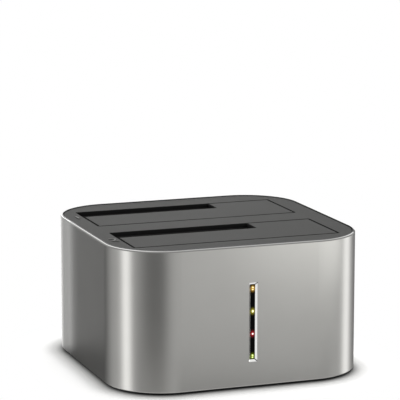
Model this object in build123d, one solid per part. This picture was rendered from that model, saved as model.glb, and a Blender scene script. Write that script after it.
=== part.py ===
from build123d import *
import math
import os

# A free-standing dock for two hard drives. Each bay takes a large or a small
# drive upright, and a sprung L-shaped flap closes the part of the bay that a
# small drive leaves free. X runs to the right, Y to the back and Z up, with the
# origin on the floor under the middle of the case. All sizes are in millimetres.

# Case
case_width = 128.0
case_depth = 126.0
case_height = 70.0
corner_radius_share = 0.2266
shell_wall = 2.0
rim_width = 1.2
rim_chamfer = 0.9
shell_foot_chamfer = 0.3
fit_gap = 0.15
flat_gap = 0.3
cut_overrun = 0.5

# Deck set into the rim of the case
deck_thickness = 2.2
deck_sink = 0.3
deck_edge_chamfer = 0.35

# Base plate under the case
base_thickness = 2.0
base_flange = 0.6
base_flange_inset = 1.0
foot_proud = 0.6
foot_recess = 1.0
foot_radius = 5.5
foot_edge = 0.3
foot_inset_x = 18.0
foot_inset_y = 30.0
vent_length = 24.0
vent_width = 1.6
vent_pitch = 4.2
vent_place_x = 20.0
vents_each_side = 9

# Pillars that hold the deck over the base plate
pillar_radius = 3.0
pillar_front_side_inset = 36.0
pillar_front_inset = 6.5
pillar_middle_side_inset = 14.0
pillar_rear_side_inset = 17.0
pillar_rear_inset = 11.5
pillar_spigot_radius = 1.8
pillar_spigot_height = 1.4
pillar_bore_depth = 9.0

# Screws
screw_radius = 1.25
screw_head_radius = 2.4
screw_head_height = 1.0
screw_length = 8.0
screw_cross_width = 0.6
screw_cross_depth = 0.5
screw_cross_share = 0.6
screw_running_gap = 0.06
small_screw_radius = 1.0
small_head_radius = 1.8
small_head_height = 1.0
small_screw_length = 3.6

# Drives that the bays are made for. The bays leave 101.6 by 26.1 for a large one
small_drive_width = 69.85
small_drive_thickness = 9.5
plug_to_drive_edge = 30.1
plug_to_drive_face = 3.5

# Bays, each placed by its margins from the faces of the case
bay_left_margin = 10.35
bay_right_margin = 12.25
bay_front_margin = 14.2
bay_rear_margin = 17.6
bay_land = 17.4
bay_corner_radius = 1.0
drive_left_gap = 1.6
drive_right_gap = 2.2
drive_front_gap = 11.9
drive_back_gap = 0.4
guide_gap = 0.5
notch_depth = 12.8
notch_side_gap = 0.35
liner_wall = 1.6
liner_floor = 2.0
liner_corner_radius = 3.0
liner_bore_share = 0.75
seat_height = 4.4
seat_rib_width = 2.0
guide_rib_width = 3.0

# Flaps and their hinges
flap_gap = 0.6
flap_back_gap = 0.7
flap_thickness = 2.0
flap_corner_radius = 0.6
flap_edge_chamfer = 0.35
hinge_drop = 4.0
hinge_pin_radius = 1.0
hinge_running_gap = 0.06
hinge_wall_gap = 0.6
knuckle_radius = 2.0
knuckle_width = 8.0
flap_rib_height = 1.8
flap_rib_width = 1.4
flap_rib_sink = 0.5
stop_place_share = 0.25
stop_reach = 1.5
stop_height = 2.2
stop_width = 8.0
swing_gap = 0.6
spring_wire_radius = 0.25
spring_pitch = 0.95
spring_turns = 6
spring_bore_gap = 0.12
spring_leg_length = 9.0
spring_points_per_turn = 24

# Circuit boards
board_thickness = 1.6
board_post_height = 2.4
board_post_radius = 3.0
board_side_gap = 21.0
board_front_gap = 11.0
board_rear_gap = 0.5
board_corner_radius = 2.0
board_screw_inset = 4.5
board_link_height = 9.4
bay_board_left_inset = 9.65
bay_board_right_inset = 11.75
bay_board_front_inset = 2.4
bay_board_rear_inset = 0.9
bay_board_screw_inset = 3.5
bay_board_screw_socket_gap = 9.0
link_width = 5.0
link_length = 22.0
link_inset = 5.0
link_groove_share = 0.25

# Chips and coils on the main board
big_chip_side = 14.0
small_chip_side = 9.0
chip_height = 1.5
chip_chamfer = 0.4
capacitor_radius = 3.2
capacitor_height = 7.2
capacitor_pitch = 8.0
capacitor_count = 3
capacitor_side_inset = 13.0
capacitor_skirt_height = 1.4
capacitor_skirt_side = 6.6
coil_side = 7.2
coil_height = 4.2
coil_corner_chamfer = 1.2
coil_pitch = 10.0
coil_count = 2
crystal_length = 11.0
crystal_width = 4.5
crystal_height = 3.4

# Drive sockets
socket_length = 37.2
socket_thickness = 5.4
socket_height = 9.4
socket_skirt_length = 41.0
socket_skirt_height = 3.4
socket_window_gap = 0.4
socket_lip_chamfer = 0.45
signal_slot_length = 10.6
power_slot_length = 20.8
slot_space = 2.4
slot_width = 1.9
slot_depth = 6.0
slot_key_length = 1.2
slot_key_reach = 1.3
contact_pitch = 1.27
contact_width = 0.6
contact_thickness = 0.3
contact_drop = 0.6
signal_contacts = 7
power_contacts = 15

# Light strip in the front of the case
light_width = 2.4
light_height = 36.9
light_middle_x = 1.3
light_middle_z = 32.4
light_bevel = 1.0
light_fit_gap = 0.08
light_flange_width = 1.8
light_flange_thickness = 1.2
led_count = 4
led_pitch = 11.1
led_drop = 0.35
led_radius = 0.85
led_proud = 0.15
led_foot_side = 2.8
led_foot_height = 1.0
led_running_gap = 0.1
led_board_width = 10.0
led_board_thickness = 1.2
led_board_margin = 4.4
led_board_setback = 2.8
led_boss_radius = 2.2
led_boss_drop = 1.1
ribbon_width = 7.0
ribbon_thickness = 0.3
ribbon_bend = 2.5
ribbon_lap = 5.0

# Port panel in the back of the case
panel_side_margin = 1.5
panel_cut_height = 13.6
panel_cut_radius = 2.0
panel_flange = 1.2
panel_thickness = 1.6
panel_land = 0.8
port_height = 10.6
port_face_proud = 0.4
port_gap = 0.2
rocker_place_share = -0.35
jack_place_share = -0.09
usb_place_share = 0.17
clone_place_share = 0.395

# Data port
usb_width = 12.0
usb_depth = 15.4
usb_wall = 0.5
usb_corner = 2.2
usb_cavity_depth = 9.0
usb_tongue_width = 5.6
usb_tongue_height = 3.2
usb_tongue_short = 1.0
usb_tongue_chamfer = 0.4

# Power jack
jack_width = 9.0
jack_depth = 13.0
jack_bore_radius = 3.2
jack_bore_depth = 9.5
jack_pin_radius = 1.05
jack_pin_short = 0.8
jack_pin_tip_radius = 0.35

# Power switch
rocker_housing_width = 15.2
rocker_housing_depth = 12.4
rocker_opening_wall = 1.0
rocker_cavity_depth = 7.6
rocker_tilt_degrees = 8
rocker_side_gap = 0.35
rocker_end_height = 4.7
rocker_dish = 1.0
rocker_taper = 2.2
rocker_heel_radius = 2.4
rocker_pin_radius = 1.0
rocker_pin_length = 0.7
rocker_half_width = 5.7
rocker_edge = 0.3

# Clone button and the switch behind it
button_radius = 2.8
button_hole_gap = 0.08
button_proud = 1.0
button_collar_radius = 3.7
button_collar_thickness = 1.0
button_edge = 0.4
button_travel = 0.6
clone_switch_side = 6.0
clone_switch_depth = 4.0
clone_plunger_radius = 1.5
clone_plunger_grip = 1.6
clone_plunger_reach = 1.2

# Corners, feet and port openings worked out from the size of the case
corner_radius = case_width * corner_radius_share
foot_place_x = case_width / 2 - foot_inset_x
foot_place_y = case_depth / 2 - foot_inset_y
board_half_width = case_width / 2 - board_side_gap
panel_cut_width = case_width - 2 * (corner_radius + panel_side_margin)
rocker_place = panel_cut_width * rocker_place_share
jack_place = panel_cut_width * jack_place_share
usb_place = panel_cut_width * usb_place_share
clone_place = panel_cut_width * clone_place_share

# Heights, counted up from the floor
base_bottom = foot_proud
shell_bottom = base_bottom + base_flange
base_top = base_bottom + base_thickness
board_bottom = base_top + board_post_height
board_top = board_bottom + board_thickness
bay_board_bottom = board_top + board_link_height
bay_board_top = bay_board_bottom + board_thickness
liner_floor_top = bay_board_top + liner_floor
seat_top = liner_floor_top + seat_height
deck_top = case_height - deck_sink
deck_bottom = deck_top - deck_thickness
socket_top = bay_board_top + socket_height

# Faces of the case
front_face = -case_depth / 2
back_face = case_depth / 2
front_inner = front_face + shell_wall
back_inner = back_face - shell_wall

# Bay places, the same for both bays but for Y
bay_left = bay_left_margin - case_width / 2
bay_right = case_width / 2 - bay_right_margin
bay_width = bay_right - bay_left
bay_length = (case_depth - bay_front_margin - bay_rear_margin - bay_land) / 2
bay_middle_x = (bay_left + bay_right) / 2
bays_middle_y = (bay_front_margin - bay_rear_margin) / 2
bay_middles = {
    "front": bays_middle_y - (bay_land + bay_length) / 2,
    "rear": bays_middle_y + (bay_land + bay_length) / 2,
}
bay_board_left = bay_left + bay_board_left_inset
bay_board_right = bay_right - bay_board_right_inset

# Drive places, counted from the walls of a bay
drive_left = bay_left + drive_left_gap
drive_right = bay_right - drive_right_gap
drive_thickness = bay_length - drive_front_gap - drive_back_gap
notch_right = drive_left + small_drive_width + notch_side_gap
socket_x = drive_left + plug_to_drive_edge

# Hinge line, measured from the front edge of a bay
hinge_setback = hinge_wall_gap + knuckle_radius
hinge_z = deck_top - hinge_drop
flap_underside = deck_top - flap_thickness


def bay_front(bay):
    return bay_middles[bay] - bay_length / 2


def bay_back(bay):
    return bay_middles[bay] + bay_length / 2


def hinge_y(bay):
    return bay_front(bay) + hinge_setback


def socket_y(bay):
    return bay_back(bay) - drive_back_gap - plug_to_drive_face


def block(x_range, y_range, z_range):
    """A plain block between the lowest and highest value on each axis."""
    spans = (x_range, y_range, z_range)
    sizes = [high - low for low, high in spans]
    middles = [(low + high) / 2 for low, high in spans]
    return Pos(*middles) * Box(*sizes)


def rounded_block(middle, width, length, z_low, z_high, radius):
    """A block with upright rounded corners around a middle in plan."""
    outline = RectangleRounded(width, length, radius)
    return Pos(middle[0], middle[1], z_low) * extrude(outline, z_high - z_low)


def bar(start, end, radius):
    """A round bar from one point to another."""
    way = Vector(*end) - Vector(*start)
    return Solid.make_cylinder(radius, way.length, Plane(origin=start, z_dir=way))


def facing_front(y, z=0, x=0):
    """A plane square to Y whose own axes run along X and Z."""
    return Plane(origin=(x, y, z), x_dir=(1, 0, 0), z_dir=(0, -1, 0))


def light_plane(y):
    """The same, at the middle of the light strip."""
    return facing_front(y, light_middle_z, light_middle_x)


def joined(solids):
    """Several solids in one group, each kept apart."""
    return Compound(children=list(solids))


def pillar_places():
    rows = (
        (pillar_front_side_inset, front_face + pillar_front_inset),
        (pillar_middle_side_inset, bays_middle_y),
        (pillar_rear_side_inset, back_face - pillar_rear_inset),
    )
    return [(side * (case_width / 2 - inset), y) for side in (-1, 1) for inset, y in rows]


def board_screw_places():
    x = board_half_width - board_screw_inset
    front_y = front_face + board_front_gap + shell_wall + board_screw_inset
    rear_y = bay_back("rear") - board_screw_inset
    return [(side * x, y) for side in (-1, 1) for y in (front_y, rear_y)]


def bay_board_screw_places():
    x_left = bay_board_left + bay_board_screw_inset
    x_right = bay_board_right - bay_board_screw_inset
    front_y = bay_front("front") + bay_board_front_inset + bay_board_screw_inset
    rear_y = socket_y("rear") - bay_board_screw_socket_gap
    return [(x, y) for x in (x_left, x_right) for y in (front_y, rear_y)]


def pan_screw(x, y, z, direction, radius, head_radius, head_height, length):
    """An upright screw: z is under its head and direction is the way it points."""
    head = bar((x, y, z), (x, y, z - direction * head_height), head_radius)
    shank = bar((x, y, z), (x, y, z + direction * length), radius)
    cross_low = z - direction * head_height
    cross_high = cross_low + direction * screw_cross_depth
    cross_z = (min(cross_low, cross_high), max(cross_low, cross_high))
    reach = head_radius * screw_cross_share
    half = screw_cross_width / 2
    screw = head + shank
    screw -= block((x - reach, x + reach), (y - half, y + half), cross_z)
    screw -= block((x - half, x + half), (y - reach, y + reach), cross_z)
    return screw


# Outer shell: an aluminium sleeve with a bright chamfered rim
def make_outer_shell():
    middle = (0, 0)
    shell = rounded_block(middle, case_width, case_depth, shell_bottom, case_height, corner_radius)
    shell = chamfer(shell.edges().group_by(Axis.Z)[-1], rim_chamfer)
    shell = chamfer(shell.edges().group_by(Axis.Z)[0], shell_foot_chamfer)
    inner_width = case_width - 2 * shell_wall
    inner_depth = case_depth - 2 * shell_wall
    inner_radius = corner_radius - shell_wall
    low = shell_bottom - cut_overrun
    high = case_height + cut_overrun
    shell -= rounded_block(middle, inner_width, inner_depth, low, high, inner_radius)
    seat_width = case_width - 2 * rim_width
    seat_depth = case_depth - 2 * rim_width
    shell -= rounded_block(middle, seat_width, seat_depth, deck_bottom, high, corner_radius - rim_width)

    # The slot for the light strip has a 45 degree bevel all round
    slot = light_plane(front_inner + cut_overrun) * Rectangle(light_width, light_height)
    shell -= extrude(slot, shell_wall + 2 * cut_overrun)
    grown = 2 * (light_bevel + cut_overrun)
    outer = light_plane(front_face - cut_overrun) * Rectangle(light_width + grown, light_height + grown)
    inner = light_plane(front_face + light_bevel) * Rectangle(light_width, light_height)
    shell -= loft([outer.face(), inner.face()], ruled=True)

    # The opening for the port panel at the back
    cut = facing_front(back_face + cut_overrun, panel_middle_z())
    cut = cut * RectangleRounded(panel_cut_width, panel_cut_height, panel_cut_radius)
    shell -= extrude(cut, shell_wall + 2 * cut_overrun)
    return shell


# Deck: a moulded plate let into the rim, with an opening for each bay
def make_top_deck():
    inset = rim_width + fit_gap
    width = case_width - 2 * inset
    depth = case_depth - 2 * inset
    deck = rounded_block((0, 0), width, depth, deck_bottom, deck_top, corner_radius - inset)
    low = deck_bottom - cut_overrun
    high = deck_top + cut_overrun
    for bay in bay_middles:
        middle = (bay_middle_x, bay_middles[bay])
        deck -= rounded_block(middle, bay_width, bay_length, low, high, bay_corner_radius)
    deck = chamfer(deck.edges().group_by(Axis.Z)[-1], deck_edge_chamfer)
    socket_radius = pillar_spigot_radius + fit_gap
    for x, y in pillar_places():
        deck -= bar((x, y, low), (x, y, deck_bottom + pillar_spigot_height + fit_gap), socket_radius)
    return deck


# Base plate: its flange carries the shell and its posts carry the main board
def make_base_plate():
    flange_width = case_width - 2 * base_flange_inset
    flange_depth = case_depth - 2 * base_flange_inset
    flange_radius = corner_radius - base_flange_inset
    plate = rounded_block((0, 0), flange_width, flange_depth, base_bottom, shell_bottom, flange_radius)
    inset = shell_wall + fit_gap
    plug_width = case_width - 2 * inset
    plug_depth = case_depth - 2 * inset
    plate += rounded_block((0, 0), plug_width, plug_depth, base_bottom, base_top, corner_radius - inset)
    for x, y in board_screw_places():
        plate += bar((x, y, base_top - base_flange), (x, y, board_bottom), board_post_radius)
        bore = small_screw_radius + screw_running_gap
        plate -= bar((x, y, board_bottom - board_post_height), (x, y, board_bottom + cut_overrun), bore)
    below = base_bottom - cut_overrun
    above = base_top + cut_overrun
    head_room = base_bottom + screw_head_height + fit_gap
    for x, y in pillar_places():
        plate -= bar((x, y, below), (x, y, above), screw_radius + fit_gap)
        plate -= bar((x, y, below), (x, y, head_room), screw_head_radius + fit_gap)
    for x in (-foot_place_x, foot_place_x):
        for y in (-foot_place_y, foot_place_y):
            plate -= bar((x, y, below), (x, y, base_bottom + foot_recess), foot_radius + fit_gap)
    half_width = vent_width / 2
    half_length = vent_length / 2
    for side in (-1, 1):
        for step in range(vents_each_side):
            y = (step - (vents_each_side - 1) / 2) * vent_pitch
            x = side * vent_place_x
            spans = (x - half_length, x + half_length), (y - half_width, y + half_width)
            plate -= block(spans[0], spans[1], (below, above))
    return plate


def make_rubber_feet():
    feet = []
    for x in (-foot_place_x, foot_place_x):
        for y in (-foot_place_y, foot_place_y):
            foot = bar((x, y, 0), (x, y, base_bottom + foot_recess), foot_radius)
            feet.append(chamfer(foot.edges().group_by(Axis.Z)[0], foot_edge))
    return joined(feet)


def make_base_screws():
    under_head = base_bottom + screw_head_height + fit_gap
    sizes = (screw_radius, screw_head_radius, screw_head_height, screw_length)
    return joined([pan_screw(x, y, under_head, 1, *sizes) for x, y in pillar_places()])


def make_case_pillars():
    pillars = []
    for x, y in pillar_places():
        pillar = bar((x, y, base_top), (x, y, deck_bottom), pillar_radius)
        pillar += bar((x, y, deck_bottom), (x, y, deck_bottom + pillar_spigot_height), pillar_spigot_radius)
        bore_top = base_top + pillar_bore_depth
        bore = screw_radius + screw_running_gap
        pillar -= bar((x, y, base_top - cut_overrun), (x, y, bore_top), bore)
        pillars.append(pillar)
    return joined(pillars)


# Bay liners: deep moulded pockets with seats for the end of a drive
def guide_rib_top(y, bay):
    """The height that a rib on a side wall may reach under the swinging flap."""
    reach = math.hypot(bay_length - flap_back_gap - hinge_setback, hinge_drop) + swing_gap
    along = y - hinge_y(bay)
    return hinge_z - math.sqrt(max(reach * reach - along * along, 0))


def seat_rib_places():
    beside_socket = socket_skirt_length / 2 + socket_window_gap + seat_rib_width
    return [
        drive_left + seat_rib_width,
        socket_x + beside_socket,
        drive_left + small_drive_width - seat_rib_width,
        drive_right - seat_rib_width,
    ]


def stop_places():
    """Middles along X of the two ledges that the front of a closed flap meets."""
    offset = bay_width * stop_place_share
    return [bay_middle_x - offset, bay_middle_x + offset]


def make_liner(bay):
    middle = (bay_middle_x, bay_middles[bay])
    outer_width = bay_width + 2 * liner_wall
    outer_length = bay_length + 2 * liner_wall
    radius = liner_corner_radius
    front = bay_front(bay)
    back = bay_back(bay)
    liner = rounded_block(middle, outer_width, outer_length, bay_board_top, deck_bottom, radius)
    top = deck_bottom + cut_overrun
    liner -= rounded_block(middle, bay_width, bay_length, liner_floor_top, top, bay_corner_radius)

    # Seats across the floor, and the window for the drive socket
    half = seat_rib_width / 2
    seat_front = back - drive_back_gap - drive_thickness
    for x in seat_rib_places():
        liner += block((x - half, x + half), (seat_front, back), (liner_floor_top - half, seat_top))
    half_window = socket_skirt_length / 2 + socket_window_gap
    window_x = (socket_x - half_window, socket_x + half_window)
    half_window = socket_thickness / 2 + socket_window_gap
    window_y = (socket_y(bay) - half_window, socket_y(bay) + half_window)
    liner -= block(window_x, window_y, (bay_board_top - cut_overrun, seat_top + cut_overrun))

    # Ribs that keep a large drive from swaying, as high as the flap allows
    rear_rib = back - drive_back_gap - small_drive_thickness
    for y in (seat_front + guide_rib_width, rear_rib):
        spans_y = (y, y + guide_rib_width)
        rib_z = (liner_floor_top - half, guide_rib_top(y, bay))
        liner += block((bay_left - half, drive_left - guide_gap), spans_y, rib_z)
        liner += block((drive_right + guide_gap, bay_right + half), spans_y, rib_z)

    # Ledges that stop the flap when it is level with the deck
    stop_top = flap_underside - flat_gap
    for x in stop_places():
        stop_x = (x - stop_width / 2, x + stop_width / 2)
        liner += block(stop_x, (front - half, front + stop_reach), (stop_top - stop_height, stop_top))

    # Bores for the hinge pin in both end walls
    bore = hinge_pin_radius + hinge_running_gap
    pin_y = hinge_y(bay)
    ends = (bay_left - liner_wall - cut_overrun, bay_right + liner_wall + cut_overrun)
    liner -= bar((ends[0], pin_y, hinge_z), (ends[1], pin_y, hinge_z), bore)

    # Holes in the floor for the screws of the bay board
    bore = small_screw_radius + screw_running_gap
    bore_top = bay_board_top + liner_floor * liner_bore_share
    for x, y in bay_board_screw_places():
        liner -= bar((x, y, bay_board_top - cut_overrun), (x, y, bore_top), bore)
    if bay == "front":
        liner = add_led_bosses(liner)
    return liner


def led_board_back():
    return front_inner + led_board_setback + led_board_thickness


def led_heights():
    top = light_middle_z - led_drop + (led_count - 1) * led_pitch / 2
    return [top - step * led_pitch for step in range(led_count)]


def led_boss_heights():
    """One boss between the two lowest lamps and one above the highest."""
    heights = led_heights()
    lower = heights[-1] + led_pitch / 2
    upper = heights[0] + led_pitch / 2 - led_boss_drop
    return [lower, upper]


def add_led_bosses(liner):
    x = light_middle_x
    wall = bay_front("front") - liner_wall
    bore = small_screw_radius + screw_running_gap
    for z in led_boss_heights():
        liner += bar((x, led_board_back(), z), (x, wall + liner_wall / 2, z), led_boss_radius)
        liner -= bar((x, led_board_back() - cut_overrun, z), (x, wall, z), bore)
    return liner


# Flaps: L-shaped plates that leave the small drive's notch open
def knuckle_places():
    half = knuckle_width / 2
    return [
        bay_left + flap_gap + half,
        bay_middle_x,
        bay_right - flap_gap - half,
    ]


def make_flap(bay):
    left = bay_left + flap_gap
    right = bay_right - flap_gap
    front = bay_front(bay) + flap_gap
    back = bay_back(bay) - flap_back_gap
    notch_front = bay_back(bay) - notch_depth
    middle = ((left + right) / 2, (front + back) / 2)
    size = (right - left, back - front)
    flap = rounded_block(middle, *size, flap_underside, deck_top, flap_corner_radius)
    low = flap_underside - cut_overrun
    high = deck_top + cut_overrun
    flap -= block((left - cut_overrun, notch_right), (notch_front, back + cut_overrun), (low, high))
    flap = chamfer(flap.edges().group_by(Axis.Z)[-1], flap_edge_chamfer)

    # Stiffening ribs under the plate, clear of the knuckles
    pin_y = hinge_y(bay)
    rib_front = pin_y + knuckle_radius
    rib_low = flap_underside - flap_rib_height
    rib_top = flap_underside + flap_rib_sink
    half = flap_rib_width / 2
    rib_inset = knuckle_width / 2
    for x in knuckle_places()[:2]:
        rib_y = (rib_front, notch_front - rib_inset)
        flap += block((x - half, x + half), rib_y, (rib_low, rib_top))
    for x in (notch_right + rib_inset, knuckle_places()[2]):
        rib_y = (rib_front, back - rib_inset)
        flap += block((x - half, x + half), rib_y, (rib_low, rib_top))

    # Knuckles for the hinge pin
    for x in knuckle_places():
        span = (x - knuckle_width / 2, x + knuckle_width / 2)
        flap += bar((span[0], pin_y, hinge_z), (span[1], pin_y, hinge_z), knuckle_radius)
        flap += block(span, (pin_y - knuckle_radius, pin_y + knuckle_radius), (hinge_z, rib_top))
    bore = hinge_pin_radius + hinge_running_gap
    flap -= bar((left - cut_overrun, pin_y, hinge_z), (right + cut_overrun, pin_y, hinge_z), bore)
    return flap


def make_hinge_pin(bay):
    start = (bay_left - liner_wall, hinge_y(bay), hinge_z)
    end = (bay_right + liner_wall, hinge_y(bay), hinge_z)
    return bar(start, end, hinge_pin_radius)


def turn_gap(path):
    """The least gap between one turn of a spring and the next, measured on points."""
    count = spring_points_per_turn * spring_turns
    points = [path @ (step / count) for step in range(count + 1)]
    half_turn = spring_points_per_turn // 2
    distances = []
    for first in range(count + 1 - half_turn):
        for second in range(first + half_turn, count + 1):
            distances.append((points[second] - points[first]).length)
    return min(distances) - 2 * spring_wire_radius


# Springs: half-turn arcs whose ends all run square to the hinge line, so that
# each turn flows into the next, and a straight leg under the flap
def make_flap_spring(bay):
    radius = hinge_pin_radius + spring_bore_gap + spring_wire_radius
    x = knuckle_places()[0] + knuckle_width / 2 + spring_wire_radius + flat_gap
    y = hinge_y(bay)
    half_pitch = spring_pitch / 2
    rise = half_pitch / 2
    bulge = math.hypot(radius, rise)
    edges = []
    for half_turn in range(2 * spring_turns + 1):
        side = 1 if half_turn % 2 else -1
        start = (x, y, hinge_z + side * radius)
        middle = (x + rise, y + side * bulge, hinge_z)
        x += half_pitch
        end = (x, y, hinge_z - side * radius)
        edges.append(ThreePointArc(start, middle, end))
    edges.append(Line(end, (x, y + spring_leg_length, end[2])))
    path = Wire(edges)
    section = Plane(origin=path @ 0, z_dir=path % 0) * Circle(spring_wire_radius)
    print(bay, "spring turn gap", round(turn_gap(path), 3))
    return sweep(section, path=path)


# Main board with what is soldered to it
def make_main_board():
    front = front_face + shell_wall + board_front_gap
    back = back_inner - board_rear_gap - panel_thickness
    middle = (0, (front + back) / 2)
    width = 2 * board_half_width
    board = rounded_block(middle, width, back - front, board_bottom, board_top, board_corner_radius)
    hole = small_screw_radius + screw_running_gap
    for x, y in board_screw_places():
        board -= bar((x, y, board_bottom - cut_overrun), (x, y, board_top + cut_overrun), hole)
    return board


def make_main_board_screws():
    length = board_thickness + board_post_height - fit_gap
    sizes = (small_screw_radius, small_head_radius, small_head_height, length)
    return joined([pan_screw(x, y, board_top, -1, *sizes) for x, y in board_screw_places()])


def make_controller_chips():
    chips = []
    places = [
        (-big_chip_side, bays_middle_y, big_chip_side),
        (small_chip_side, bays_middle_y - big_chip_side, small_chip_side),
    ]
    for x, y, side in places:
        half = side / 2
        chip = block((x - half, x + half), (y - half, y + half), (board_top, board_top + chip_height))
        chips.append(chamfer(chip.edges().group_by(Axis.Z)[-1], chip_chamfer))
    return joined(chips)


def make_capacitors():
    cans = []
    y = bay_front("rear") + capacitor_pitch
    half = capacitor_skirt_side / 2
    for step in range(capacitor_count):
        x = capacitor_side_inset - board_half_width + capacitor_pitch * step
        can = bar((x, y, board_top), (x, y, board_top + capacitor_height), capacitor_radius)
        skirt_z = (board_top, board_top + capacitor_skirt_height)
        can += block((x - half, x + half), (y - half, y + half), skirt_z)
        cans.append(can)
    return joined(cans)


def make_power_coils():
    coils = []
    y = bay_front("rear") + capacitor_pitch
    half = coil_side / 2
    for step in range(coil_count):
        x = coil_pitch * (step + 1)
        coil = block((x - half, x + half), (y - half, y + half), (board_top, board_top + coil_height))
        coils.append(chamfer(coil.edges().filter_by(Axis.Z), coil_corner_chamfer))
    return joined(coils)


def make_crystal():
    x = small_chip_side
    y = bays_middle_y
    z = (board_top, board_top + crystal_height)
    half_width = crystal_width / 2
    can = block((x - crystal_length / 2, x + crystal_length / 2), (y - half_width, y + half_width), z)
    return fillet(can.edges().filter_by(Axis.Z), half_width - fit_gap)


# Bay board: it hangs under both liners and carries the two drive sockets
def make_bay_board():
    front = bay_front("front") + bay_board_front_inset
    back = bay_back("rear") - bay_board_rear_inset
    middle = ((bay_board_right + bay_board_left) / 2, (front + back) / 2)
    size = (bay_board_right - bay_board_left, back - front)
    board = rounded_block(middle, *size, bay_board_bottom, bay_board_top, board_corner_radius)
    hole = small_screw_radius + screw_running_gap
    low = bay_board_bottom - cut_overrun
    high = bay_board_top + cut_overrun
    for x, y in bay_board_screw_places():
        board -= bar((x, y, low), (x, y, high), hole)
    return board


def make_bay_board_screws():
    length = board_thickness + liner_floor / 2
    sizes = (small_screw_radius, small_head_radius, small_head_height, length)
    places = bay_board_screw_places()
    return joined([pan_screw(x, y, bay_board_bottom, 1, *sizes) for x, y in places])


def make_board_link():
    right = bay_board_right - link_inset
    spans_x = (right - link_width, right)
    half = link_length / 2
    spans_y = (bays_middle_y - half, bays_middle_y + half)
    middle_z = (board_top + bay_board_bottom) / 2
    link = block(spans_x, spans_y, (board_top, bay_board_bottom))
    groove = link_width * link_groove_share / 2
    groove_z = (middle_z - groove, middle_z + groove)
    for x in spans_x:
        link -= block((x - groove, x + groove), (spans_y[0] - groove, spans_y[1] + groove), groove_z)
    return link


# Drive sockets: a signal slot and a power slot, each with an L-shaped key
def slot_spans():
    """The X range of the signal slot and of the power slot."""
    total = signal_slot_length + slot_space + power_slot_length
    start = socket_x - total / 2
    signal = (start, start + signal_slot_length)
    power = (signal[1] + slot_space, start + total)
    return signal, power


def make_socket(bay):
    y = socket_y(bay)
    half_length = socket_length / 2
    half_thickness = socket_thickness / 2
    spans_y = (y - half_thickness, y + half_thickness)
    body = block((socket_x - half_length, socket_x + half_length), spans_y, (bay_board_top, socket_top))
    skirt = socket_skirt_length / 2
    skirt_z = (bay_board_top, bay_board_top + socket_skirt_height)
    body += block((socket_x - skirt, socket_x + skirt), spans_y, skirt_z)
    body = chamfer(body.edges().group_by(Axis.Z)[-1], socket_lip_chamfer)
    slot_z = (socket_top - slot_depth, socket_top + cut_overrun)
    slot_y = (y - slot_width / 2, y + slot_width / 2)
    signal, power = slot_spans()
    for span, key_start in ((signal, signal[0]), (power, power[1] - slot_key_length)):
        body -= block(span, slot_y, slot_z)
        key_x = (key_start, key_start + slot_key_length)
        body -= block(key_x, (slot_y[0] - slot_key_reach, slot_y[1]), slot_z)
    return body


def make_contacts(bay):
    y = socket_y(bay) + slot_width / 2
    z = (socket_top - slot_depth, socket_top - contact_drop)
    signal, power = slot_spans()
    half = contact_width / 2
    strips = []
    for span, count in ((signal, signal_contacts), (power, power_contacts)):
        middle = (span[0] + span[1]) / 2
        for step in range(count):
            x = middle + (step - (count - 1) / 2) * contact_pitch
            strips.append(block((x - half, x + half), (y - contact_thickness, y), z))
    return joined(strips)


# Light strip: a black bar with four lamps behind it on their own small board
def light_bar_face():
    return front_face + light_bevel


def make_light_bar():
    width = light_width - 2 * light_fit_gap
    height = light_height - 2 * light_fit_gap
    head = light_plane(front_inner) * Rectangle(width, height)
    light = extrude(head, front_inner - light_bar_face())
    flange_back = front_inner + light_flange_thickness
    flange = Rectangle(light_width + 2 * light_flange_width, light_height + 2 * light_flange_width)
    light += extrude(light_plane(flange_back) * flange, light_flange_thickness)
    x = light_middle_x
    hole = led_radius + led_running_gap
    for z in led_heights():
        light -= bar((x, light_bar_face() - cut_overrun, z), (x, flange_back + cut_overrun, z), hole)
    return light


def make_led(step):
    x = light_middle_x
    z = led_heights()[step]
    board_face = front_inner + led_board_setback
    tip = light_bar_face() - led_proud
    half = led_foot_side / 2
    foot_y = (board_face - led_foot_height, board_face)
    led = block((x - half, x + half), foot_y, (z - half, z + half))
    led += bar((x, foot_y[0], z), (x, tip, z), led_radius)
    return fillet(led.edges().group_by(Axis.Y)[0], led_radius / 2)


def led_board_span():
    heights = led_heights()
    low = heights[-1] - led_pitch / 2
    high = led_boss_heights()[1] + led_board_margin / 2
    return low, high


def make_led_board():
    x = light_middle_x
    face = front_inner + led_board_setback
    half = led_board_width / 2
    board = block((x - half, x + half), (face, led_board_back()), led_board_span())
    hole = small_screw_radius + screw_running_gap
    for z in led_boss_heights():
        board -= bar((x, face - cut_overrun, z), (x, led_board_back() + cut_overrun, z), hole)
    return board


def make_led_board_screws():
    x = light_middle_x
    face = front_inner + led_board_setback
    screws = []
    for z in led_boss_heights():
        head = bar((x, face - small_head_height, z), (x, face, z), small_head_radius)
        screws.append(head + bar((x, face, z), (x, face + small_screw_length, z), small_screw_radius))
    return joined(screws)


# Ribbon: it lies on the back of the lamp board, bends and lies on the main board
def make_led_ribbon():
    half = ribbon_thickness / 2
    upright_y = led_board_back() + half
    flat_z = board_top + half
    board_front = front_face + shell_wall + board_front_gap
    points = [
        (light_middle_x, upright_y, led_board_span()[0] + ribbon_lap),
        (light_middle_x, upright_y, flat_z),
        (light_middle_x, board_front + ribbon_lap, flat_z),
    ]
    path = FilletPolyline(*points, radius=ribbon_bend)
    start = Plane(origin=path @ 0, x_dir=(1, 0, 0), z_dir=path % 0)
    return sweep(start * Rectangle(ribbon_width, ribbon_thickness), path=path)


# Port panel: it fills the opening at the back and each port comes through it
def panel_middle_z():
    return board_top + port_height / 2


def port_face():
    return back_inner + port_face_proud


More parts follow.
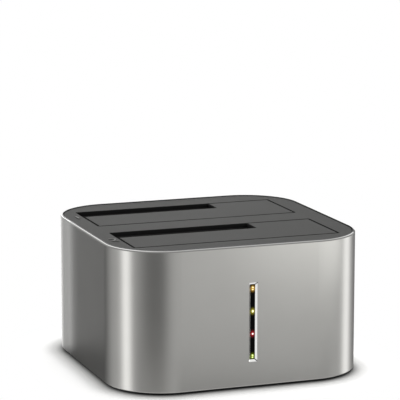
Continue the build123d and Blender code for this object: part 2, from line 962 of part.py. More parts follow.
def make_port_panel():
    flange_width = panel_cut_width + 2 * panel_flange
    flange_height = panel_cut_height + 2 * panel_flange
    z = panel_middle_z()
    flange = RectangleRounded(flange_width, flange_height, panel_cut_radius + panel_flange)
    panel = extrude(facing_front(back_inner, z) * flange, panel_thickness)
    land_width = panel_cut_width - 2 * fit_gap
    land_height = panel_cut_height - 2 * fit_gap
    land = RectangleRounded(land_width, land_height, panel_cut_radius - fit_gap)
    panel += extrude(facing_front(back_inner + panel_land, z) * land, panel_land)
    hole_z = (board_top - port_gap, board_top + port_height + port_gap)
    hole_y = (back_inner - panel_thickness - cut_overrun, back_face)
    openings = (
        (rocker_place, rocker_housing_width),
        (jack_place, jack_width),
        (usb_place, usb_width),
    )
    for x, width in openings:
        half = width / 2 + port_gap
        panel -= block((x - half, x + half), hole_y, hole_z)
    hole = button_radius + button_hole_gap
    panel -= bar((clone_place, hole_y[0], z), (clone_place, hole_y[1], z), hole)
    return panel


def port_shape(inset):
    """The outline of the data port, with its two upper corners cut off."""
    half = usb_width / 2 - inset
    low = -port_height / 2 + inset
    high = port_height / 2 - inset
    corner = usb_corner - inset / 2
    points = [
        (-half, low),
        (half, low),
        (half, high - corner),
        (half - corner, high),
        (corner - half, high),
        (-half, high - corner),
    ]
    return make_face(Polyline(*points, close=True))


def make_usb_shell():
    z = panel_middle_z()
    place = Pos(usb_place, 0, 0)
    shell = place * extrude(facing_front(port_face(), z) * port_shape(0), usb_depth)
    cavity = facing_front(port_face() + cut_overrun, z) * port_shape(usb_wall)
    shell -= place * extrude(cavity, usb_cavity_depth + cut_overrun)
    return shell


def make_usb_tongue():
    z = panel_middle_z()
    back = port_face() - usb_tongue_short
    front = port_face() - usb_cavity_depth
    half = usb_tongue_width / 2
    half_height = usb_tongue_height / 2
    tongue = block((usb_place - half, usb_place + half), (front, back), (z - half_height, z + half_height))
    return chamfer(tongue.edges().group_by(Axis.Y)[-1], usb_tongue_chamfer)


def make_jack_housing():
    half = jack_width / 2
    z = panel_middle_z()
    spans_z = (board_top, board_top + port_height)
    jack = block((jack_place - half, jack_place + half), (port_face() - jack_depth, port_face()), spans_z)
    bore_end = port_face() - jack_bore_depth
    jack -= bar((jack_place, bore_end, z), (jack_place, port_face() + cut_overrun, z), jack_bore_radius)
    return jack


def make_jack_pin():
    z = panel_middle_z()
    tip = port_face() - jack_pin_short
    pin = bar((jack_place, port_face() - jack_bore_depth, z), (jack_place, tip, z), jack_pin_radius)
    return fillet(pin.edges().group_by(Axis.Y)[-1], jack_pin_tip_radius)


# Power switch: a rocker on two short pins in its housing
def rocker_pivot_y():
    return port_face() - rocker_end_height + rocker_dish / 2


def make_rocker_housing():
    half = rocker_housing_width / 2
    face = port_face()
    spans_x = (rocker_place - half, rocker_place + half)
    spans_z = (board_top, board_top + port_height)
    housing = block(spans_x, (face - rocker_housing_depth, face), spans_z)
    wall = rocker_opening_wall
    inner_x = (spans_x[0] + wall, spans_x[1] - wall)
    inner_z = (spans_z[0] + wall, spans_z[1] - wall)
    housing -= block(inner_x, (face - rocker_cavity_depth, face + cut_overrun), inner_z)
    bore = rocker_pin_radius + screw_running_gap
    y = rocker_pivot_y()
    reach = rocker_pin_length + fit_gap - rocker_side_gap
    low = (rocker_place, y, inner_z[0] - reach)
    high = (rocker_place, y, inner_z[1] + reach)
    housing -= bar(low, high, bore)
    return housing


def make_power_rocker():
    wall = rocker_opening_wall + rocker_side_gap
    z = (board_top + wall, board_top + port_height - wall)
    left_top = (-rocker_half_width, rocker_end_height)
    right_top = (rocker_half_width, rocker_end_height)
    low = rocker_half_width - rocker_taper
    paddle = Curve() + [
        ThreePointArc(left_top, (0, rocker_end_height - rocker_dish), right_top),
        Line(right_top, (low, 0)),
        ThreePointArc((low, 0), (0, -rocker_heel_radius), (-low, 0)),
        Line((-low, 0), left_top),
    ]
    rocker = extrude(make_face(paddle), z[1] - z[0])
    rocker = chamfer(rocker.faces().sort_by(Axis.Z)[-1].edges(), rocker_edge)
    rocker = chamfer(rocker.faces().sort_by(Axis.Z)[0].edges(), rocker_edge)
    pin_low = -rocker_pin_length
    pin_high = z[1] - z[0] + rocker_pin_length
    rocker += bar((0, 0, pin_low), (0, 0, pin_high), rocker_pin_radius)
    place = Pos(rocker_place, rocker_pivot_y(), z[0])
    return place * Rot(0, 0, -rocker_tilt_degrees) * rocker


# Clone button with a collar behind the panel, on the plunger of its switch
def button_collar_front():
    return back_inner - panel_thickness - flat_gap


def button_collar_back():
    return button_collar_front() - button_collar_thickness


def make_clone_button():
    z = panel_middle_z()
    tip = back_inner + panel_land + button_proud
    button = bar((clone_place, button_collar_back(), z), (clone_place, tip, z), button_radius)
    button = fillet(button.edges().group_by(Axis.Y)[-1], button_edge)
    collar_back = (clone_place, button_collar_back(), z)
    collar_front = (clone_place, button_collar_front(), z)
    return button + bar(collar_back, collar_front, button_collar_radius)


def clone_switch_face():
    return button_collar_back() - clone_plunger_reach


def make_clone_switch():
    z = panel_middle_z()
    half = clone_switch_side / 2
    face = clone_switch_face()
    spans_y = (face - clone_switch_depth, face)
    switch = block((clone_place - half, clone_place + half), spans_y, (board_top, z + half))
    bore = clone_plunger_radius + screw_running_gap
    bore_end = face - clone_plunger_grip - button_travel - flat_gap
    return switch - bar((clone_place, bore_end, z), (clone_place, face + cut_overrun, z), bore)


def make_clone_plunger():
    z = panel_middle_z()
    start = (clone_place, clone_switch_face() - clone_plunger_grip, z)
    return bar(start, (clone_place, button_collar_back(), z), clone_plunger_radius)


parts = {
    "outer_shell": make_outer_shell(),
    "top_deck": make_top_deck(),
    "base_plate": make_base_plate(),
    "rubber_feet": make_rubber_feet(),
    "base_screws": make_base_screws(),
    "case_pillars": make_case_pillars(),
    "main_board": make_main_board(),
    "main_board_screws": make_main_board_screws(),
    "controller_chips": make_controller_chips(),
    "capacitors": make_capacitors(),
    "power_coils": make_power_coils(),
    "crystal": make_crystal(),
    "bay_board": make_bay_board(),
    "bay_board_screws": make_bay_board_screws(),
    "board_link": make_board_link(),
    "light_bar": make_light_bar(),
    "led_board": make_led_board(),
    "led_board_screws": make_led_board_screws(),
    "led_ribbon": make_led_ribbon(),
    "port_panel": make_port_panel(),
    "usb_shell": make_usb_shell(),
    "usb_tongue": make_usb_tongue(),
    "jack_housing": make_jack_housing(),
    "jack_pin": make_jack_pin(),
    "rocker_housing": make_rocker_housing(),
    "power_rocker": make_power_rocker(),
    "clone_button": make_clone_button(),
    "clone_switch": make_clone_switch(),
    "clone_plunger": make_clone_plunger(),
}
for lamp, colour in enumerate(("amber", "yellow", "red", "green")):
    parts[colour + "_led"] = make_led(lamp)
for bay in bay_middles:
    parts[bay + "_bay_liner"] = make_liner(bay)
    parts[bay + "_flap"] = make_flap(bay)
    parts[bay + "_hinge_pin"] = make_hinge_pin(bay)
    parts[bay + "_flap_spring"] = make_flap_spring(bay)
    parts[bay + "_drive_socket"] = make_socket(bay)
    parts[bay + "_socket_contacts"] = make_contacts(bay)

os.makedirs("parts", exist_ok=True)
for name, shape in parts.items():
    export_step(shape, "parts/" + name + ".step")
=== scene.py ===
import math

import bmesh
import bpy
from mathutils import Matrix, Vector


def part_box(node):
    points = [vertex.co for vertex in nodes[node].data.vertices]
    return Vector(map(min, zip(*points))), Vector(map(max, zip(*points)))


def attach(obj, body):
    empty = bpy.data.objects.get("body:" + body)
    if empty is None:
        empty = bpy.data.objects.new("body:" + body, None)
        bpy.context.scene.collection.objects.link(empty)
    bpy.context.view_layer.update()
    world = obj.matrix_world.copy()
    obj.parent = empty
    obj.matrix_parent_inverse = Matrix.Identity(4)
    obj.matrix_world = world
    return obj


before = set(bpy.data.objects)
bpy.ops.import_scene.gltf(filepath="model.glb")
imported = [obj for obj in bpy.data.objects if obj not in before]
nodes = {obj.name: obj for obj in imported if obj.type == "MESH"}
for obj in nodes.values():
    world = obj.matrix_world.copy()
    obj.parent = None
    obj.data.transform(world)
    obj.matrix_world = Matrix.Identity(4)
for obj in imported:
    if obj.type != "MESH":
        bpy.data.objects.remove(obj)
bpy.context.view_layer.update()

# Outer shell. An aluminium sleeve, bent round and ground satin along its
# length. Its rim and the bevel round the light slot are cut afterwards and are
# smoother than the wall. Their colour holds painted light: a painted highlight
# on the rim's sides and on the bevel's right side and ends, and painted shade on
# the bevel's left side, in the rim's seam, under the rim and along its mitres.
mm = 0.001
shell_low, shell_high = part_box("outer_shell")
corner_radius = 29 * mm
crown_reach = 30 * mm


class Number:
    """A number that a shader works out. Sums and products of it add Math nodes."""

    def __init__(self, shading, socket):
        self.shading = shading
        self.socket = socket

    def math(self, operation, *others):
        inputs = dict(enumerate((self, *others)))
        return self.shading.node("ShaderNodeMath", {"operation": operation}, inputs)

    def __add__(self, other):
        return self.math("ADD", other)

    __radd__ = __add__

    def __mul__(self, other):
        return self.math("MULTIPLY", other)

    __rmul__ = __mul__

    def __sub__(self, other):
        return self.math("SUBTRACT", other)

    def __rsub__(self, other):
        return self * -1 + other

    def __pow__(self, other):
        return self.math("POWER", other)


class Shading:
    """A tree of shader nodes, a material's or the air's."""

    def __init__(self, tree):
        self.tree = tree

    def node(self, kind, settings, inputs, output=0):
        made = self.tree.nodes.new(kind)
        for key, value in settings.items():
            if key == "stops":
                stops = made.color_ramp.elements
                stops[0].position, stops[0].color = value[0]
                stops[1].position, stops[1].color = value[-1]
                for position, colour in value[1:-1]:
                    stops.new(position).color = colour
            else:
                setattr(made, key, value)
        for key, value in inputs.items():
            if isinstance(value, Number):
                self.tree.links.new(value.socket, made.inputs[key])
            else:
                made.inputs[key].default_value = value
        return Number(self, made.outputs[output]) if made.outputs else None

    def shown(self):
        """1 for rays that show a thing to the camera, by way of gloss or glass too."""
        ray = self.node("ShaderNodeLightPath", {}, {}, "Is Camera Ray")
        for kind in ("Is Glossy Ray", "Is Transmission Ray"):
            ray = ray.math("MAXIMUM", self.node("ShaderNodeLightPath", {}, {}, kind))
        return ray


class Finish(Shading):
    """A material, with its shader and the nodes that vary it."""

    def __init__(self, name, **constants):
        self.material = bpy.data.materials.new(name)
        self.material.use_nodes = True
        super().__init__(self.material.node_tree)
        self.shader = next(n for n in self.tree.nodes if n.type == "BSDF_PRINCIPLED")
        for key, value in constants.items():
            self.set(key.replace("_", " ").title().replace("Ior", "IOR"), value)
        self.place = self.node("ShaderNodeTexCoord", {}, {}, "Object")
        self.x, self.y, self.z = (
            self.node("ShaderNodeSeparateXYZ", {}, {"Vector": self.place}, axis)
            for axis in "XYZ"
        )

    def set(self, name, value):
        socket = self.shader.inputs[name]
        if isinstance(value, Number):
            self.tree.links.new(value.socket, socket)
        elif name in ("Base Color", "Emission Color"):
            socket.default_value = (*value, 1)
        else:
            socket.default_value = value

    def noise(self, grains, detail=2.0, stretch=(1, 1, 1)):
        """Soft noise from 0 to 1, with so many grains a metre along each axis."""
        scale = tuple(grains * share for share in stretch)
        place = {"Vector": self.place, "Scale": scale}
        scaled = self.node("ShaderNodeMapping", {}, place)
        inputs = {"Vector": scaled, "Scale": 1.0, "Detail": detail}
        return self.node("ShaderNodeTexNoise", {}, inputs)

    def rise(self, value, low, high):
        """0 below low, 1 above high and smooth between."""
        span = {"Value": value, "From Min": low, "From Max": high}
        return self.node("ShaderNodeMapRange", {"interpolation_type": "SMOOTHSTEP"}, span)

    def blend(self, share, first, second):
        """A colour between two others, which Mix takes at 6 and 7 and gives at 2."""
        first, second = (
            colour if isinstance(colour, Number) else (*colour, 1)
            for colour in (first, second)
        )
        inputs = {0: share, 6: first, 7: second}
        return self.node("ShaderNodeMix", {"data_type": "RGBA"}, inputs, 2)

    def bump(self, height, strength=1.0, distance=1.0):
        inputs = {"Height": height, "Strength": strength, "Distance": distance}
        self.set("Normal", self.node("ShaderNodeBump", {}, inputs))

    def vary(self, pattern, tones=None, roughness=None, bump=None):
        """Lets one pattern lead the colour, the roughness and the height."""
        if tones:
            self.set("Base Color", self.blend(pattern, *tones))
        if roughness:
            least, most = roughness
            self.set("Roughness", least + pattern * (most - least))
        if bump:
            self.bump(pattern, *bump)

    def dress(self, *names):
        for name in names:
            piece = nodes[name] if isinstance(name, str) else name
            piece.data.materials.clear()
            piece.data.materials.append(self.material)


def past_wall(finish, forward=0.0):
    """How far a place lies outside the wall's outline, with the dock moved forward."""
    past_x = finish.x.math("ABSOLUTE") - (shell_high.x - corner_radius)
    past_y = (finish.y + forward).math("ABSOLUTE") - (shell_high.y - corner_radius)
    round_x = past_x.math("MAXIMUM", 0.0)
    round_y = past_y.math("MAXIMUM", 0.0)
    return (round_x * round_x + round_y * round_y).math("SQRT") - corner_radius


def crown(past):
    """How far the wall stands in as its flat eases into a back corner.

    The easing reaches crown_reach to each side of the line between the two,
    and past is how far a place lies beyond that line.
    """
    before = (past + crown_reach).math("MAXIMUM", 0.0).math("MINIMUM", crown_reach)
    after = (crown_reach - past).math("MAXIMUM", 0.0).math("MINIMUM", crown_reach)
    return (after ** 3 - before ** 3) * (1 / (12 * crown_reach * corner_radius))


satin = Finish("satin_aluminium", metallic=1.0)
grinding = satin.noise(70, detail=3.0, stretch=(1, 1, 90))
cloud = satin.noise(45, detail=3.0)

feather = 0.1 * mm
rim_cut = 0.4 * mm
rim_depth = 0.9 * mm
rim_width = 0.74 * mm
rim_foot_feather = 0.06 * mm
side_start = 0.8 * corner_radius
side_end = 0.2 * corner_radius
inset = past_wall(satin) * -1
rim_start = shell_high.z - rim_cut
rim_foot = shell_high.z - rim_depth
on_rim = satin.rise(satin.z, rim_start - feather, rim_start)
# Painted shade: the inner part of the rim's top, next to the deck, is painted near black as
# the seam's shade.
rim_seam_painted_shade = on_rim * satin.rise(inset, rim_width, rim_width + feather)
rim = on_rim - rim_seam_painted_shade
below_rim = satin.rise(satin.z, rim_foot - rim_foot_feather, rim_foot) - on_rim
at_side = satin.rise(
    satin.x.math("ABSOLUTE"), shell_high.x - side_start, shell_high.x - side_end
)

bar_low, bar_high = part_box("light_bar")
bar_middle = (bar_low + bar_high) / 2
slot_half_width = 1.2 * mm
slot_half_height = 18.45 * mm
slot_side_feather = 0.4 * mm
bevel_width = 1.0 * mm
bevel_skin = 0.02 * mm
bevel_skin_feather = 0.04 * mm
bevel_room = 3 * mm
bevel_room_feather = 1 * mm
mitre_width = 0.34 * mm
across = (satin.x - bar_middle.x).math("ABSOLUTE")
along = (satin.z - bar_middle.z).math("ABSOLUTE")
bevel_across = slot_half_width + bevel_width
bevel_along = slot_half_height + bevel_width
skin = shell_low.y + bevel_skin
room = shell_low.y + bevel_room
beside = 1 - satin.rise(across, bevel_across, bevel_across + feather)
within = 1 - satin.rise(along, bevel_along, bevel_along + feather)
behind_face = satin.rise(satin.y, skin, skin + bevel_skin_feather)
in_front = 1 - satin.rise(satin.y, room, room + bevel_room_feather)
bevel = beside * within * behind_face * in_front
# Painted shade: a thin dark line is painted along the bevel's mitres on its lit right side.
off_mitre = ((across - slot_half_width) - (along - slot_half_height)).math("ABSOLUTE")
mitre = 1 - satin.rise(off_mitre, mitre_width / 2, mitre_width)
right_side = satin.rise(
    satin.x, bar_middle.x - slot_side_feather, bar_middle.x + slot_side_feather
)
at_end = satin.rise(along, slot_half_height - feather, slot_half_height + feather)
lit_side = right_side.math("MAXIMUM", at_end)

# The near white tone is a painted highlight on the rim's sides and on the bevel's lit side.
# The bevel's darker other side is painted shade, and so is the near black of the seam, the
# band under the rim and the mitres.
wall_tones = ((0.505, 0.50, 0.48), (0.555, 0.55, 0.53))
front_rim_tone = (0.58, 0.58, 0.57)
painted_highlight_tone = (1.0, 1.0, 0.985)
shaded_bevel_tone = (0.40, 0.40, 0.39)
painted_shade_tone = (0.03, 0.03, 0.03)
rim_foot_shade = 0.5
wall_colour = satin.blend(cloud, *wall_tones)
rim_colour = satin.blend(at_side, front_rim_tone, painted_highlight_tone)
rimmed = satin.blend(rim, wall_colour, rim_colour)
# Painted shade: the seam is painted near black, and the band under the rim half as dark.
in_shade = rim_seam_painted_shade.math("MAXIMUM", below_rim * rim_foot_shade)
rimmed = satin.blend(in_shade, rimmed, painted_shade_tone)
bevel_colour = satin.blend(lit_side, shaded_bevel_tone, painted_highlight_tone)
bevelled = satin.blend(bevel, rimmed, bevel_colour)
satin.set("Base Color", satin.blend(bevel * mitre * right_side, bevelled, painted_shade_tone))

wall_roughness = 0.26
grinding_roughness = 0.04
cloud_roughness = 0.02
cut_roughness = 0.10
shaded_bevel_roughness = 0.3
cut = rim.math("MAXIMUM", bevel)
on_wall = wall_roughness + grinding * grinding_roughness + cloud * cloud_roughness
on_cut = cut_roughness + (1 - lit_side) * bevel * shaded_bevel_roughness
satin.set("Roughness", on_wall * (1 - cut) + cut * on_cut)

grinding_depth = 0.0024 * mm
bevel_hollow = 0.45
crowned = crown(satin.y - (shell_high.y - corner_radius))
above_end = (satin.z - (bar_middle.z - slot_half_height)).math("MAXIMUM", 0.0)
hollow = bevel * above_end * -bevel_hollow
satin.bump(crowned + hollow + grinding * grinding_depth)
satin.dress("outer_shell")

# Deck and flaps. Both are moulded in the same dark grey ABS with a fine spark
# texture that is smoother in faint patches, and the flaps lie level with the
# deck. Below the top faces the plastic is painted near black, as painted shade.
deck_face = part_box("top_deck")[1].z
face_skin = 0.02 * mm
deck_tones = ((0.038, 0.038, 0.036), (0.047, 0.047, 0.0445))
gap_painted_shade_tone = (0.006, 0.006, 0.006)
deck_roughness = 0.46
grain_roughness = 0.14
patch_roughness = 0.06
gap_roughness = 0.3
moulded = Finish("moulded_dark_grey", specular_ior_level=0.22)
grain = moulded.noise(2600)
patch = moulded.noise(38)
face = moulded.rise(moulded.z, deck_face - 2 * face_skin, deck_face - face_skin)
moulded.set("Base Color", moulded.blend(face, gap_painted_shade_tone, moulded.blend(patch, *deck_tones)))
top_roughness = deck_roughness + grain * grain_roughness + patch * patch_roughness
moulded.set("Roughness", top_roughness + (1 - face) * gap_roughness)
moulded.bump(grain, strength=0.35, distance=0.03 * mm)
moulded.dress("top_deck", "front_flap", "rear_flap")

# Bay numbers. Small plain numerals stand a quarter of a millimetre proud of the
# deck beside each bay, moulded in one with it. Their tops are painted paler as a
# painted highlight and their sides near black as painted shade.
numeral_size = 9.0 * mm
numeral_height = 0.2 * mm
numeral_bevel = 0.05 * mm
numeral_top_depth = 0.08 * mm
numeral_x = -57.0 * mm
numeral_setback = 5.0 * mm
numeral_top_highlight_tones = ((0.085, 0.085, 0.082), (0.12, 0.12, 0.115))
numeral_side_painted_shade = (0.01, 0.01, 0.01)
scene = bpy.context.scene
marking = Finish("numeral_grey", specular_ior_level=0.4, roughness=0.45)
# Painted highlight on the numerals' tops, painted shade on their sides.
numeral_top = marking.blend(marking.noise(2600), *numeral_top_highlight_tones)
numeral_edge = deck_face + numeral_height
raised = marking.rise(marking.z, numeral_edge - numeral_top_depth, numeral_edge)
marking.set("Base Color", marking.blend(raised, numeral_side_painted_shade, numeral_top))
for bay, numeral in (("rear", "1"), ("front", "2")):
    low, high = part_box(bay + "_bay_liner")
    text = bpy.data.curves.new(bay + "_bay_number", "FONT")
    text.body = numeral
    text.size = numeral_size
    text.align_x = "CENTER"
    text.align_y = "CENTER"
    text.extrude = numeral_height
    text.bevel_depth = numeral_bevel
    text.bevel_resolution = 1
    shaped = bpy.data.objects.new(bay + "_bay_number_text", text)
    scene.collection.objects.link(shaped)
    bpy.context.view_layer.update()
    settled = shaped.evaluated_get(bpy.context.evaluated_depsgraph_get())
    mesh = bpy.data.meshes.new_from_object(settled)
    bpy.data.objects.remove(shaped)
    numeral_y = (low.y + high.y) / 2 + numeral_setback
    mesh.transform(Matrix.Translation((numeral_x, numeral_y, deck_face)))
    mark = bpy.data.objects.new(bay + "_bay_number", mesh)
    scene.collection.objects.link(mark)
    marking.dress(mark)
    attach(mark, "chassis")

# Light strip. A smoked, polished bar fills the bevelled slot, and four small
# domed lamps shine through it from the board behind: amber, yellow, red and
# green from the top down. The end two have a pair of bright points each.
halo_start = 0.3 * mm
halo_reach = 2.3 * mm
halo_squash = 0.7
halo_fall = 1.8
core_start = 0.12 * mm
core_reach = 0.62 * mm
unlit_share = 0.2
dome_strength = 1.15
lamps = {  # half the gap between its points, colour at the edge, colour of the core
    "amber_led": (0.6 * mm, (0.42, 0.24, 0.035), (1.0, 0.84, 0.44)),
    "yellow_led": (0.15 * mm, (0.27, 0.24, 0.02), (1.0, 1.0, 0.62)),
    "red_led": (0.0, (0.27, 0.012, 0.016), (1.0, 0.94, 0.9)),
    "green_led": (0.54 * mm, (0.15, 0.2, 0.008), (0.8, 1.0, 0.36)),
}
smoked = Finish(
    "smoked_bar",
    roughness=0.12,
    specular_ior_level=0.06,
    base_color=(0.001, 0.001, 0.001),
    emission_strength=1.0,
)
# Painted glow: the smoked bar itself is given emission round each lamp, fading outwards.
glow = (0.0, 0.0, 0.0)
for name, (half_gap, edge_colour, core_colour) in lamps.items():
    low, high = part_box(name)
    height = (low.z + high.z) / 2
    aside = smoked.x - bar_middle.x
    upward = smoked.z - height
    distance = (aside * aside + upward * upward * halo_squash).math("SQRT")
    halo = (1 - smoked.rise(distance, halo_start, halo_reach)) ** halo_fall
    glow = smoked.blend(halo, glow, edge_colour)
    lens = Finish(
        name + "_lens",
        roughness=0.2,
        specular_ior_level=0.1,
        emission_strength=dome_strength,
    )
    aside = lens.x - bar_middle.x
    upward = (lens.z - height).math("ABSOLUTE") - half_gap
    distance = (aside * aside + upward * upward).math("SQRT")
    core = 1 - lens.rise(distance, core_start, core_reach)
    unlit = tuple(unlit_share * part for part in edge_colour)
    lens.set("Base Color", lens.blend(core, unlit, core_colour))
    lens.set("Emission Color", lens.blend(core, edge_colour, core_colour))
    lens.dress(name)
smoked.set("Emission Color", glow)
smoked.dress("light_bar")

# Base plate, pillars, port panel and housings. All are moulded in black ABS
# with a plain satin tool finish, and only the panel shows when the dock stands.
black = Finish("moulded_black", specular_ior_level=0.5)
black.vary(
    black.noise(1400, detail=3.0),
    tones=((0.018, 0.018, 0.018), (0.030, 0.030, 0.030)),
    roughness=(0.40, 0.58),
    bump=(0.2, 0.03 * mm),
)
black.dress("base_plate", "case_pillars", "port_panel")
black.dress("rocker_housing", "jack_housing", "clone_switch", "board_link")

# Feet. Four soft rubber discs are pressed into the base plate, dull and a
# little dusty.
rubber = Finish("foot_rubber", specular_ior_level=0.3)
rubber.vary(
    rubber.noise(500, detail=4.0),
    tones=((0.020, 0.020, 0.021), (0.055, 0.053, 0.050)),
    roughness=(0.78, 0.93),
    bump=(0.3, 0.05 * mm),
)
rubber.dress("rubber_feet")

# Bay liners. Deep moulded pockets in black ABS, coarser than the deck, with
# faint upright streaks where drives have rubbed.
liner = Finish("liner_black", specular_ior_level=0.4)
liner.vary(
    liner.noise(260, detail=3.0, stretch=(1, 1, 0.08)),
    tones=((0.016, 0.016, 0.016), (0.034, 0.034, 0.033)),
)
liner.vary(liner.noise(1100, detail=3.0), roughness=(0.48, 0.68), bump=(0.3, 0.04 * mm))
liner.dress("front_bay_liner", "rear_bay_liner")

# Drive sockets. Black glass-filled nylon, slightly glossy, with a row of gold
# plated strips along one wall of each slot.
nylon = Finish("socket_nylon", specular_ior_level=0.5)
nylon.vary(
    nylon.noise(3200, stretch=(1, 0.2, 1)),
    tones=((0.012, 0.012, 0.013), (0.030, 0.030, 0.031)),
    roughness=(0.28, 0.43),
)
nylon.dress("front_drive_socket", "rear_drive_socket", "usb_tongue")
gold = Finish("contact_gold", metallic=1.0)
gold.vary(
    gold.noise(1500, stretch=(1, 1, 0.1)),
    tones=((0.86, 0.58, 0.20), (0.95, 0.72, 0.34)),
    roughness=(0.20, 0.35),
)
gold.dress("front_socket_contacts", "rear_socket_contacts")

# Hinge pins and springs. Ground steel rod with rings round it from turning, and
# drawn spring wire that is a little darker and duller.
ground = Finish("ground_steel", metallic=1.0)
ground.vary(
    ground.noise(900, stretch=(4, 1, 1)),
    tones=((0.48, 0.48, 0.49), (0.60, 0.60, 0.61)),
    roughness=(0.24, 0.38),
)
ground.dress("front_hinge_pin", "rear_hinge_pin")
drawn = Finish("drawn_wire", metallic=1.0)
drawn.vary(
    drawn.noise(2400),
    tones=((0.34, 0.34, 0.35), (0.48, 0.48, 0.49)),
    roughness=(0.28, 0.48),
)
drawn.dress("front_flap_spring", "rear_flap_spring")

# Screws. Self-tapping pan heads in black zinc, worn to bare steel in places.
# They hold the base plate and the three boards.
zinc = Finish("black_zinc", metallic=1.0)
zinc.vary(
    zinc.noise(1800, detail=3.0),
    tones=((0.10, 0.10, 0.11), (0.30, 0.30, 0.31)),
    roughness=(0.34, 0.54),
)
zinc.dress("base_screws", "main_board_screws", "bay_board_screws", "led_board_screws")

# Circuit boards. Glass laminate under a green mask, with copper tracks on a
# tenth of an inch grid that show as paler lines through it.
track_pitch = 2.54 * mm
track_start = 0.62
track_edge = 0.72
laminate = Finish("board_green", specular_ior_level=0.5, roughness=0.35)
waves_x = (laminate.x * (2 * math.pi / track_pitch)).math("SINE")
waves_y = (laminate.y * (2 * math.pi / track_pitch)).math("SINE")
bend = laminate.noise(120, detail=0.0)
laminate.vary(
    laminate.rise(waves_x * waves_y + bend, track_start, track_edge),
    tones=((0.008, 0.085, 0.035), (0.03, 0.19, 0.08)),
    bump=(0.4, 0.04 * mm),
)
laminate.dress("main_board", "bay_board", "led_board")

# Parts on the boards. Moulded resin chips, pressed ferrite coils, drawn
# aluminium cans and the amber film of the ribbon with its copper strands.
resin = Finish("chip_resin", specular_ior_level=0.4)
resin.vary(
    resin.noise(3000),
    tones=((0.014, 0.014, 0.015), (0.030, 0.030, 0.031)),
    roughness=(0.5, 0.7),
)
resin.dress("controller_chips")
ferrite = Finish("pressed_ferrite", specular_ior_level=0.4)
ferrite.vary(
    ferrite.noise(2200, detail=4.0),
    tones=((0.030, 0.030, 0.032), (0.075, 0.074, 0.072)),
    roughness=(0.62, 0.82),
    bump=(0.4, 0.05 * mm),
)
ferrite.dress("power_coils")
can = Finish("drawn_can", metallic=1.0)
can.vary(
    can.noise(1300, stretch=(1, 1, 6)),
    tones=((0.58, 0.58, 0.60), (0.72, 0.72, 0.73)),
    roughness=(0.22, 0.36),
)
can.dress("capacitors", "crystal")
strand_pitch = 1.0 * mm
strand_edge = 0.2
film = Finish("ribbon_film", specular_ior_level=0.5, roughness=0.3)
wires = (film.x * (2 * math.pi / strand_pitch)).math("SINE")
film.vary(
    film.rise(wires, -strand_edge, strand_edge),
    tones=((0.36, 0.17, 0.03), (0.55, 0.30, 0.10)),
)
film.dress("led_ribbon")

# Data port and power jack. A folded shell and a turned centre pin, both nickel
# plated and a little clouded.
nickel = Finish("nickel_plate", metallic=1.0)
nickel.vary(
    nickel.noise(900, detail=3.0),
    tones=((0.58, 0.57, 0.55), (0.70, 0.69, 0.67)),
    roughness=(0.20, 0.36),
)
nickel.dress("usb_shell", "jack_pin")

# Power rocker and clone button. Moulded black keys, smoother than the panel
# that they come through, and lightly polished by fingers.
key = Finish("key_black", specular_ior_level=0.5)
key.vary(
    key.noise(420, detail=3.0),
    tones=((0.020, 0.020, 0.021), (0.036, 0.036, 0.037)),
    roughness=(0.26, 0.42),
)
key.dress("power_rocker", "clone_button", "clone_plunger")

# Studio tent. A round wall of pale and dark cloth for the satin wall to
# reflect. Bearings run in degrees from the front towards the left, each with
# the strength of the cloth there.
scene.view_settings.view_transform = "Standard"
tent_radius = 0.9
tent_low = -0.85
tent_high = 0.2
tent_segments = 96
tent_full = 2.7
tent_cloth = (
    (-180, 1.6),
    (-168, 2.7),
    (-160, 2.7),
    (-149, 0.2),
    (-135, 0.17),
    (-118, 0.28),
    (-106, 0.55),
    (-97, 1.8),
    (-84, 1.7),
    (-76, 0.52),
    (-36, 0.53),
    (-8, 0.66),
    (4, 0.56),
    (18, 0.18),
    (46, 0.2),
    (62, 0.44),
    (76, 0.48),
    (80, 1.85),
    (93, 2.0),
    (98, 0.6),
    (124, 0.54),
    (145, 0.2),
    (152, 0.13),
    (163, 0.15),
    (170, 0.87),
    (180, 1.6),
)


def stand(shape, name, finish):
    """A piece of the studio, seen only where something glossy reflects it."""
    mesh = bpy.data.meshes.new(name)
    shape.to_mesh(mesh)
    shape.free()
    piece = bpy.data.objects.new(name, mesh)
    scene.collection.objects.link(piece)
    finish.dress(piece)
    piece.visible_camera = False
    piece.visible_shadow = False
    piece.visible_diffuse = False


def lit_cloth(name, strength):
    """Cloth that glows and shows nothing else of the light on it."""
    return Finish(
        name, base_color=(0, 0, 0), specular_ior_level=0.0, emission_strength=strength
    )


tent = lit_cloth("tent_cloth", tent_full)
bearing = (tent.x * -1).math("ARCTAN2", tent.y * -1)
turn = bearing * (0.5 / math.pi) + 0.5
stops = [
    ((degrees + 180) / 360, (level / tent_full,) * 3 + (1,))
    for degrees, level in tent_cloth
]
tent.set("Emission Color", tent.node("ShaderNodeValToRGB", {"stops": stops}, {"Fac": turn}))
wall = bmesh.new()
bmesh.ops.create_cone(
    wall,
    segments=tent_segments,
    radius1=tent_radius,
    radius2=tent_radius,
    depth=tent_high - tent_low,
)
bmesh.ops.translate(wall, vec=(0, 0, (tent_high + tent_low) / 2), verts=wall.verts)
stand(wall, "light_tent", tent)

# Near panels. A softbox, a bounce card and two dark flags stand close to the
# dock, so that the wall shows them more at one height than at another.
panel_white = (1.0, 1.0, 0.985)


